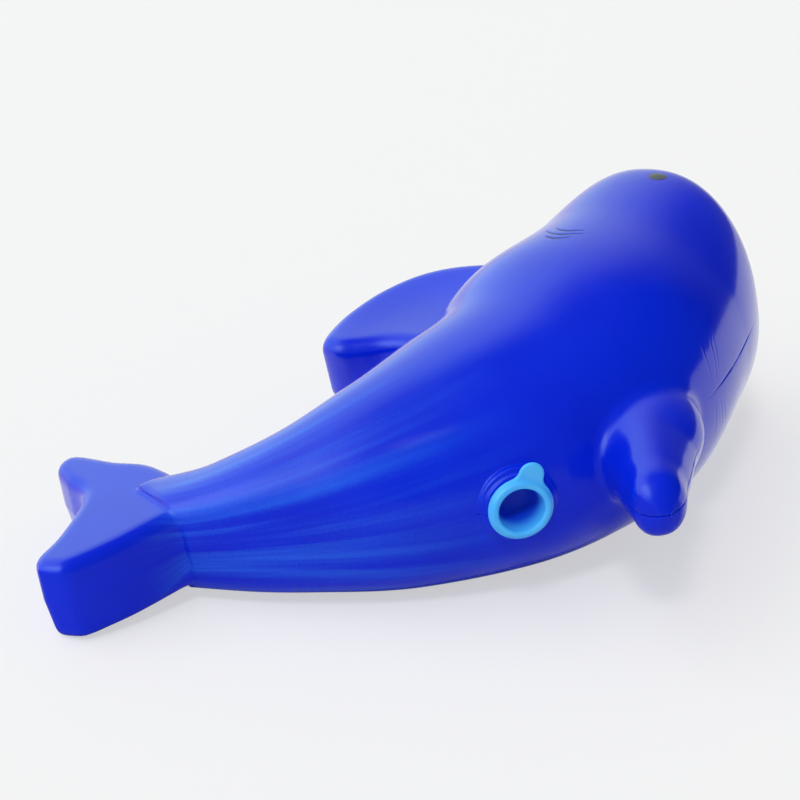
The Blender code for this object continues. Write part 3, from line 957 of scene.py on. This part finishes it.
# %% Node tree for the plug's ribs
RIB_SIZES = {"Ring radius": (PLUG_RADIUS - 0.2) * MM, "Rib radius": 0.4 * MM,
             "Step": -2.5 * MM, "Count": 2}
RIB_TOP = -4.0
RING_SIDES, SECTION_SIDES = 96, 12
RIB_NODES = {
    "given": "NodeGroupInput", "ring": "GeometryNodeCurvePrimitiveCircle",
    "section": "GeometryNodeCurvePrimitiveCircle", "sweep": "GeometryNodeCurveToMesh",
    "smooth": "GeometryNodeSetShadeSmooth", "down": "ShaderNodeCombineXYZ",
    "row": "GeometryNodeMeshLine", "placed": "GeometryNodeInstanceOnPoints",
    "real": "GeometryNodeRealizeInstances", "coat": "GeometryNodeSetMaterial",
    "out": "NodeGroupOutput"}
RIB_LINKS = (
    ("given", "Ring radius", "ring", "Radius"), ("given", "Rib radius", "section", "Radius"),
    ("ring", "Curve", "sweep", "Curve"), ("section", "Curve", "sweep", "Profile Curve"),
    ("sweep", "Mesh", "smooth", "Geometry"), ("given", "Step", "down", "Z"),
    ("given", "Count", "row", "Count"), ("down", "Vector", "row", "Offset"),
    ("row", "Mesh", "placed", "Points"), ("smooth", "Geometry", "placed", "Instance"),
    ("placed", "Instances", "real", "Geometry"), ("real", "Geometry", "coat", "Geometry"),
    ("coat", "Geometry", "out", "Geometry"))


def rib_tree(material):
    tree = bpy.data.node_groups.new("plug_ribs", "GeometryNodeTree")
    keys = {}
    for label, value in RIB_SIZES.items():
        kind = "NodeSocketInt" if isinstance(value, int) else "NodeSocketFloat"
        keys[label] = tree.interface.new_socket(label, in_out="INPUT", socket_type=kind).identifier
    tree.interface.new_socket("Geometry", in_out="OUTPUT", socket_type="NodeSocketGeometry")
    nodes = {label: tree.nodes.new(kind) for label, kind in RIB_NODES.items()}
    nodes["ring"].inputs["Resolution"].default_value = RING_SIDES
    nodes["section"].inputs["Resolution"].default_value = SECTION_SIDES
    nodes["coat"].inputs["Material"].default_value = material
    for start, output, end, target in RIB_LINKS:
        tree.links.new(nodes[start].outputs[output], nodes[end].inputs[target])
    return tree, keys


rib_holder = linked("rib_holder", bpy.data.meshes.new("rib_holder"))
maker = rib_holder.modifiers.new("ribs", "NODES")
maker.node_group, rib_keys = rib_tree(pale)
for label, value in RIB_SIZES.items():
    maker[rib_keys[label]] = value
bpy.context.view_layer.update()
rib_mesh = bpy.data.meshes.new_from_object(
    rib_holder.evaluated_get(bpy.context.evaluated_depsgraph_get()))
bpy.data.objects.remove(rib_holder, do_unlink=True)
rib_points = coordinates(rib_mesh) / MM + (0, 0, RIB_TOP)
rib_mesh.vertices.foreach_set("co", to_table(from_neck(rib_points)).ravel())
plug_ribs = linked("plug_ribs", rib_mesh)
print("plug ribs:", len(rib_mesh.polygons), "faces")

# %% [markdown]
# Each eye is a thin, slightly domed disc of ink that follows the flank. Rings of points are laid
# out flat, settled on the body's surface, lifted by the ink's thickness, and closed underneath.

# %% Eyes
EYE_X, EYE_Y, EYE_SEARCH = 93.5, -21.0, 41.0
EYE_RADIUS = 2.8
EYE_RINGS, EYE_SIDES = 8, 64
EYE_LIFT, EYE_DOME, EYE_FOOT, EYE_SHARP = 0.04, 0.10, 0.40, 40


def eye(name, side):
    middle = settle(np.array([[EYE_X, EYE_Y, side * EYE_SEARCH]]), outer_form, rounds=12, most=3.0)
    out = gradient(outer_form, middle)[0]
    out /= np.linalg.norm(out)
    across = np.cross(out, (0, 1, 0))
    across /= np.linalg.norm(across)
    up = np.cross(out, across)
    shares = [ring / EYE_RINGS for ring in range(1, EYE_RINGS + 1)]
    turns = np.arange(EYE_SIDES) * 2 * np.pi / EYE_SIDES
    ring_points = np.cos(turns)[:, None] * across + np.sin(turns)[:, None] * up
    rings = [middle + EYE_RADIUS * share * ring_points for share in shares]
    ground = settle(np.vstack([middle] + rings), outer_form, 4)
    share_of = np.concatenate(([0], np.repeat(shares, EYE_SIDES)))
    top = ground + (EYE_LIFT + EYE_DOME * (1 - share_of ** 2))[:, None] * out
    foot = ground[-EYE_SIDES:] - EYE_FOOT * out
    points = np.vstack((top, foot, ground[:1] - EYE_FOOT * out))
    steps = [(turn, (turn + 1) % EYE_SIDES) for turn in range(EYE_SIDES)]
    faces = [(0, 1 + now, 1 + after) for now, after in steps]
    for ring in range(EYE_RINGS):
        inner = 1 + ring * EYE_SIDES
        outer = inner + EYE_SIDES
        faces += [(inner + now, outer + now, outer + after, inner + after) for now, after in steps]
    faces += [(outer + EYE_SIDES, outer + after, outer + now) for now, after in steps]
    made = new_piece(name, points, faces)
    mark(made.data, "from_middle", np.concatenate((share_of, np.ones(EYE_SIDES + 1))))
    smoothed(made, EYE_SHARP)
    return made


left_eye_dot = eye("left_eye_dot", 1)
right_eye_dot = eye("right_eye_dot", -1)
print("eyes:", [len(dot.data.polygons) for dot in (left_eye_dot, right_eye_dot)], "faces")

# %% [markdown]
# Materials go onto the pieces, and each piece is tied to the frame by the body that carries it and
# the node of the CAD it stands for. The table also lists the slot of the record that its finish
# belongs to.

# %% Dress and tie the pieces
for piece, look, carrier, slot, node in (
        (left_half, blue, "body", "body_blue_plastic", "left_body_half"),
        (right_half, blue, "body", "body_blue_plastic", "right_body_half"),
        (stopper, pale, "stopper", "stopper_pale_blue_plastic", "stopper"),
        (left_eye_dot, ink, "body", "eye_black_print", "left_eye"),
        (right_eye_dot, ink, "body", "eye_black_print", "right_eye")):
    piece.data.materials.clear()
    piece.data.materials.append(look)
    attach(piece, carrier)
    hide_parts(node)
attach(plug_ribs, "stopper")

# %% [markdown]
# The photograph looks down on the toy at 27 degrees, from the tail's side of the belly, with a long
# lens. The camera's place follows from a heading, a height and a distance, aimed at the middle.

# %% Camera
AIM = Vector(to_table((0.0, 0.0, 0.0)))
HEADING, HEIGHT_ANGLE, DISTANCE = math.radians(-35.7), math.radians(26.97), 0.600
LENS, SENSOR = 90, 36

level_share = math.cos(HEIGHT_ANGLE)
toward = Vector((math.sin(HEADING) * level_share, -math.cos(HEADING) * level_share,
                 math.sin(HEIGHT_ANGLE)))
camera = linked("camera", bpy.data.cameras.new("camera"))
camera.data.lens, camera.data.sensor_width = LENS, SENSOR
camera.data.clip_start = 0.01
camera.location = AIM + toward * DISTANCE
camera.rotation_euler = (-toward).to_track_quat("-Z", "Y").to_euler()
bpy.context.scene.camera = camera
print("camera at", [round(value, 4) for value in camera.location])

# %% [markdown]
# The toy lies on a plain pale table. The camera sees the table a little brighter than the light
# makes it, which keeps the background pale and the shadow faint. Mirrored rays see its near half
# dimmer and its far half brighter, which gives the gloss the dark and light sides of the photograph.

# %% Table
TABLE_SIZE = 6.0
TABLE_COLOUR, TABLE_FLECK = (0.94, 0.94, 0.94, 1), (0.925, 0.925, 0.93, 1)
PALE = 0.90
TABLE_GLOW, TABLE_FAR, TABLE_DIM = 0.62, 0.80, 0.82
NEAR_BAND, FAR_BAND = (0.0, 0.05), (-0.03, 0.02)


def pale_table():
    recipe = Recipe(bpy.data.materials.new("pale_table"), Roughness=0.7)
    recipe.finish(Base_Color=recipe.mix(recipe.noise(60, 2), TABLE_COLOUR, TABLE_FLECK))
    glow = recipe.node("ShaderNodeEmission", {}, {"Color": (1, 1, 1, 1), "Strength": PALE})
    dark = recipe.node("ShaderNodeEmission", {}, {"Color": (0, 0, 0, 1)})
    seen = recipe.node("ShaderNodeLightPath", out="Is Camera Ray")
    mirrored = recipe.node("ShaderNodeLightPath", out="Is Glossy Ray")
    place = recipe.node("ShaderNodeTexCoord", out="Object")
    nearer = recipe.node("ShaderNodeVectorMath", {"operation": "DOT_PRODUCT"},
                         {0: place, 1: tuple(toward)}, "Value")
    near_side = mirrored * recipe.band(nearer, *NEAR_BAND)
    far_side = mirrored * (1 - recipe.band(nearer, *FAR_BAND))
    plain = Wire(recipe, recipe.shader.outputs[0])
    both = recipe.node("ShaderNodeMixShader", {}, {0: near_side * TABLE_DIM, 1: plain, 2: dark})
    both = recipe.node("ShaderNodeMixShader", {},
                       {0: seen * TABLE_GLOW + far_side * TABLE_FAR, 1: both, 2: glow})
    return recipe.show(both)


reach = TABLE_SIZE / 2
table = linked("table_top", mesh_of(
    "table_top", [(-reach, -reach, 0), (reach, -reach, 0), (reach, reach, 0), (-reach, reach, 0)],
    [(0, 1, 2, 3)]))
table.data.materials.append(pale_table())
print("table of", TABLE_SIZE, "m")

# %% [markdown]
# Gloss is nothing but what it mirrors. The blue body mirrors a white wall behind it on the left, a
# bright window on the near left, and a dark room on the right and behind the camera. A dome round
# the table holds these three; only mirrored rays meet it, so it adds no light to the object.

# %% Mirrored room
DOME_RADIUS = 4.0
DOME_TURNS, DOME_LEVELS, DOME_LOW = 96, 32, -3
forward = np.array((-toward.x, -toward.y)) / math.hypot(toward.x, toward.y)
rightward = np.array((forward[1], -forward[0]))
WALL_STOPS = ((-180, 0.06), (-150, 0.30), (-100, 1.20), (-20, 1.15), (10, 0.70),
              (35, 0.16), (55, 0.01), (95, 0.01), (125, 0.04), (180, 0.08))
CEILING, CEILING_FROM, CEILING_EASE = 0.07, 45, 30
TINT_FROM, TINT_EASE = 30, 60
LEFT_TINT = np.array((0.84, 1.22, 1.28))
WINDOW_AT, WINDOW_SPREAD, WINDOW_GLOW = (-122, 32), (26, 20), 1.6
WINDOW_TINT = np.array((0.75, 1.08, 1.15))


def room(turn, level):
    """Colour of the mirrored room at a heading from the camera's view and a height, in degrees."""
    wall = np.interp(turn, *zip(*WALL_STOPS))
    high = np.clip((level - CEILING_FROM) / CEILING_EASE, 0, 1)
    wall = wall + (CEILING - wall) * high * high * (3 - 2 * high)
    away = (((turn - WINDOW_AT[0]) / WINDOW_SPREAD[0]) ** 2
            + ((level - WINDOW_AT[1]) / WINDOW_SPREAD[1]) ** 2)
    window = WINDOW_GLOW * np.exp(-away ** 2)
    left = np.clip((TINT_FROM - turn) / TINT_EASE, 0, 1)[:, None]
    return wall[:, None] * (1 + left * (LEFT_TINT - 1)) + window[:, None] * WINDOW_TINT


def heading(turn, level):
    """Direction at a heading from the camera's view and a height, in degrees."""
    turn, level = np.radians(turn)[:, None], np.radians(level)[:, None]
    flat_way = np.cos(turn) * forward + np.sin(turn) * rightward
    return np.hstack((flat_way * np.cos(level), np.sin(level)))


def dome():
    turns = np.linspace(-180, 180, DOME_TURNS, endpoint=False)
    levels = np.linspace(DOME_LOW, 90, DOME_LEVELS)
    turn, level = (grid.ravel() for grid in np.meshgrid(turns, levels, indexing="ij"))
    number = np.arange(DOME_TURNS * DOME_LEVELS).reshape(DOME_TURNS, DOME_LEVELS)
    following = np.roll(number, -1, axis=0)
    faces = np.stack((number[:, :-1], number[:, 1:], following[:, 1:], following[:, :-1]), -1)
    made = linked("mirrored_room", mesh_of(
        "mirrored_room", heading(turn, level) * DOME_RADIUS, faces.reshape(-1, 4)))
    paint = made.data.attributes.new("room", "FLOAT_COLOR", "POINT")
    paint.data.foreach_set("color", np.column_stack((room(turn, level), np.ones(len(turn)))).ravel())
    recipe = Recipe(bpy.data.materials.new("mirrored_room"))
    colour = recipe.stored("room", "Color")
    glow = recipe.node("ShaderNodeEmission", {}, {"Color": colour, "Strength": 1.0})
    made.data.materials.append(recipe.show(glow))
    for kind in ("camera", "diffuse", "shadow", "volume_scatter"):
        setattr(made, "visible_" + kind, False)
    return made


mirrored_room = dome()
print("room of", len(mirrored_room.data.polygons), "faces")

# %% [markdown]
# Even light comes from a plain sky, and two soft suns model the form: a very wide one from the
# window's side and a smaller one from behind the camera. Their strengths are set so that a colour
# comes out about as it is written. Camera and mirrored rays see the sky as the pale background.

# %% Sky and lamps
SKY_LIGHT = 0.34
LAMPS = (("window_light", -100, 50, 70, 1.5), ("front_light", -166, 54, 10, 1.05))


def studio_sky():
    recipe = Recipe(bpy.data.worlds.new("studio"), "Background", Color=(1, 1, 1, 1))
    shown = recipe.node("ShaderNodeLightPath", out="Is Camera Ray")
    for label in ("Is Glossy Ray", "Is Transmission Ray"):
        shown = shown.math("MAXIMUM", shown, recipe.node("ShaderNodeLightPath", out=label))
    values = {"Value": shown, "To Min": SKY_LIGHT, "To Max": PALE}
    return recipe.finish(Strength=recipe.node("ShaderNodeMapRange", {}, values, "Result"))


def lamp(name, turn, level, spread, strength):
    """A soft sun at a heading from the camera's view and a height, all in degrees."""
    made = linked(name, bpy.data.lights.new(name, "SUN"))
    made.data.angle, made.data.energy = math.radians(spread), strength
    made.location = AIM + Vector(heading(np.array((turn,)), np.array((level,)))[0])
    made.rotation_euler = (AIM - made.location).to_track_quat("-Z", "Y").to_euler()
    made.visible_glossy = False


bpy.context.scene.world = studio_sky()
for values in LAMPS:
    lamp(*values)
bpy.context.scene.view_settings.view_transform = "Standard"

# %% [markdown]
